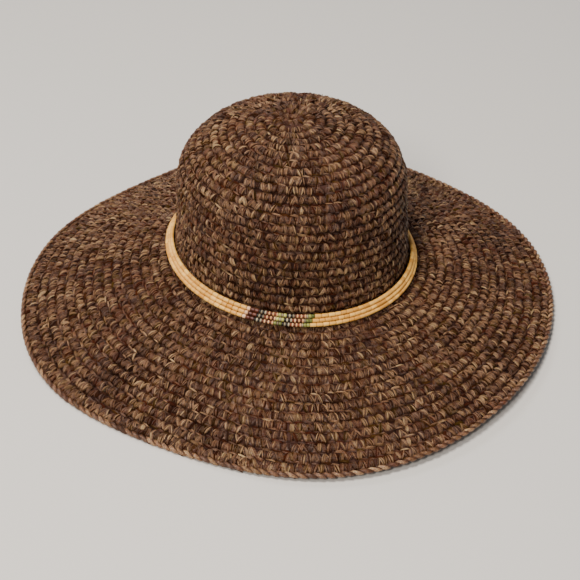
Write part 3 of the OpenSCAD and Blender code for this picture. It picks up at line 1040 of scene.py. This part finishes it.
# cord, thread or leather: a fine grain between two shades
def cordMaterial(name, look):
    material, tree, add, shader = newMaterial(name)
    place = add("ShaderNodeTexCoord")
    grain = add("ShaderNodeTexNoise",
                inputs={"Vector": place.outputs["Object"], "Scale": 1600.0, "Detail": 4.0})
    ramp = add("ShaderNodeValToRGB", inputs={0: grain.outputs[0]})
    rampStops(ramp, [(0.35, look["low"]), (0.65, look["high"])])
    tree.links.new(ramp.outputs[0], shader.inputs["Base Color"])
    shader.inputs["Roughness"].default_value = look["rough"]
    addBump(tree, add, shader, grain.outputs[0], 0.4, 0.0001)
    return material


clothWeave = clothWeaveGroup()
clothLooks = {
    "ribbon": {"low": (0.012, 0.008, 0.006), "high": (0.045, 0.030, 0.022), "rough": 0.62, "ribs": 0.6,
               "ribScale": 7.86, "relief": 0.5},
    "join": {"low": (0.022, 0.014, 0.010), "high": (0.065, 0.045, 0.033), "rough": 0.62, "ribs": 0.6,
             "ribScale": 7.86, "relief": 0.5},
    "label": {"low": (0.50, 0.46, 0.39), "high": (0.66, 0.62, 0.54), "rough": 0.42, "ribs": 0.15,
              "ribScale": 14.0, "relief": 0.3}}
cordLooks = {
    "thread": {"low": (0.012, 0.009, 0.007), "high": (0.035, 0.025, 0.02), "rough": 0.6},
    "cord": {"low": (0.16, 0.09, 0.04), "high": (0.34, 0.21, 0.11), "rough": 0.5},
    "leather": {"low": (0.06, 0.028, 0.013), "high": (0.13, 0.065, 0.032), "rough": 0.55}}
ribbonMaterial = clothMaterial("sweatbandRibbonCloth", clothLooks["ribbon"])
joinMaterial = clothMaterial("sweatbandJoinCloth", clothLooks["join"])
labelMaterial = clothMaterial("labelSatin", clothLooks["label"])
threadMaterial = cordMaterial("sewingThread", cordLooks["thread"])
cordFinish = cordMaterial("waxedCord", cordLooks["cord"])
leatherFinish = cordMaterial("spacerLeather", cordLooks["leather"])
sweatband.data.materials.append(ribbonMaterial)
ribbonJoin.data.materials.append(joinMaterial)
label.data.materials.append(labelMaterial)
labelSeam.data.materials.append(threadMaterial)
bandStitches.data.materials.append(threadMaterial)
looseFibres.data.materials.append(raffiaEdge)
knots.data.materials.append(cordFinish)


# gives a CAD node that stays in view its own material
def paintNode(node, material):
    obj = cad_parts[node]
    obj.data.materials.clear()
    obj.data.materials.append(material)


for node in ("lower_cord", "middle_cord", "upper_cord"):
    paintNode(node, cordFinish)
paintNode("spacer_bar", leatherFinish)

# floor and light


def makeFloor():
    size = 3.0
    mesh = bpy.data.meshes.new("floor")
    corners = [(-size, -size, 0), (size, -size, 0), (size, size, 0), (-size, size, 0)]
    mesh.from_pydata(corners, [], [(0, 1, 2, 3)])
    floor = bpy.data.objects.new("floor", mesh)
    bpy.context.scene.collection.objects.link(floor)
    material, _, _, shader = newMaterial("paleFloor")
    shader.inputs["Base Color"].default_value = (0.72, 0.69, 0.65, 1)
    shader.inputs["Roughness"].default_value = 0.6
    mesh.materials.append(material)


makeFloor()

lights = {
    "overhead": {"place": (-0.4, -0.55, 2.0), "size": 0.5, "watts": 45, "colour": (1.0, 0.95, 0.88)},
    "front": {"place": (-0.55, -1.65, 1.6), "size": 0.4, "watts": 30, "colour": (1.0, 0.94, 0.86)},
    "back": {"place": (-0.8, 1.4, 1.9), "size": 0.8, "watts": 17, "colour": (1.0, 0.97, 0.93)}}


def placeLights():
    for name, light in lights.items():
        data = bpy.data.lights.new(name, "AREA")
        data.size = light["size"]
        data.energy = light["watts"]
        data.color = light["colour"]
        lamp = bpy.data.objects.new(name, data)
        bpy.context.scene.collection.objects.link(lamp)
        lamp.location = light["place"]
        lamp.rotation_euler = (Vector((0, 0, 0.05)) - lamp.location).to_track_quat("-Z", "Y").to_euler()
    world = bpy.data.worlds.new("softRoom")
    bpy.context.scene.world = world
    world.use_nodes = True
    world.node_tree.nodes["Background"].inputs[0].default_value = (0.93, 0.95, 1.0, 1)
    world.node_tree.nodes["Background"].inputs[1].default_value = 0.24


placeLights()
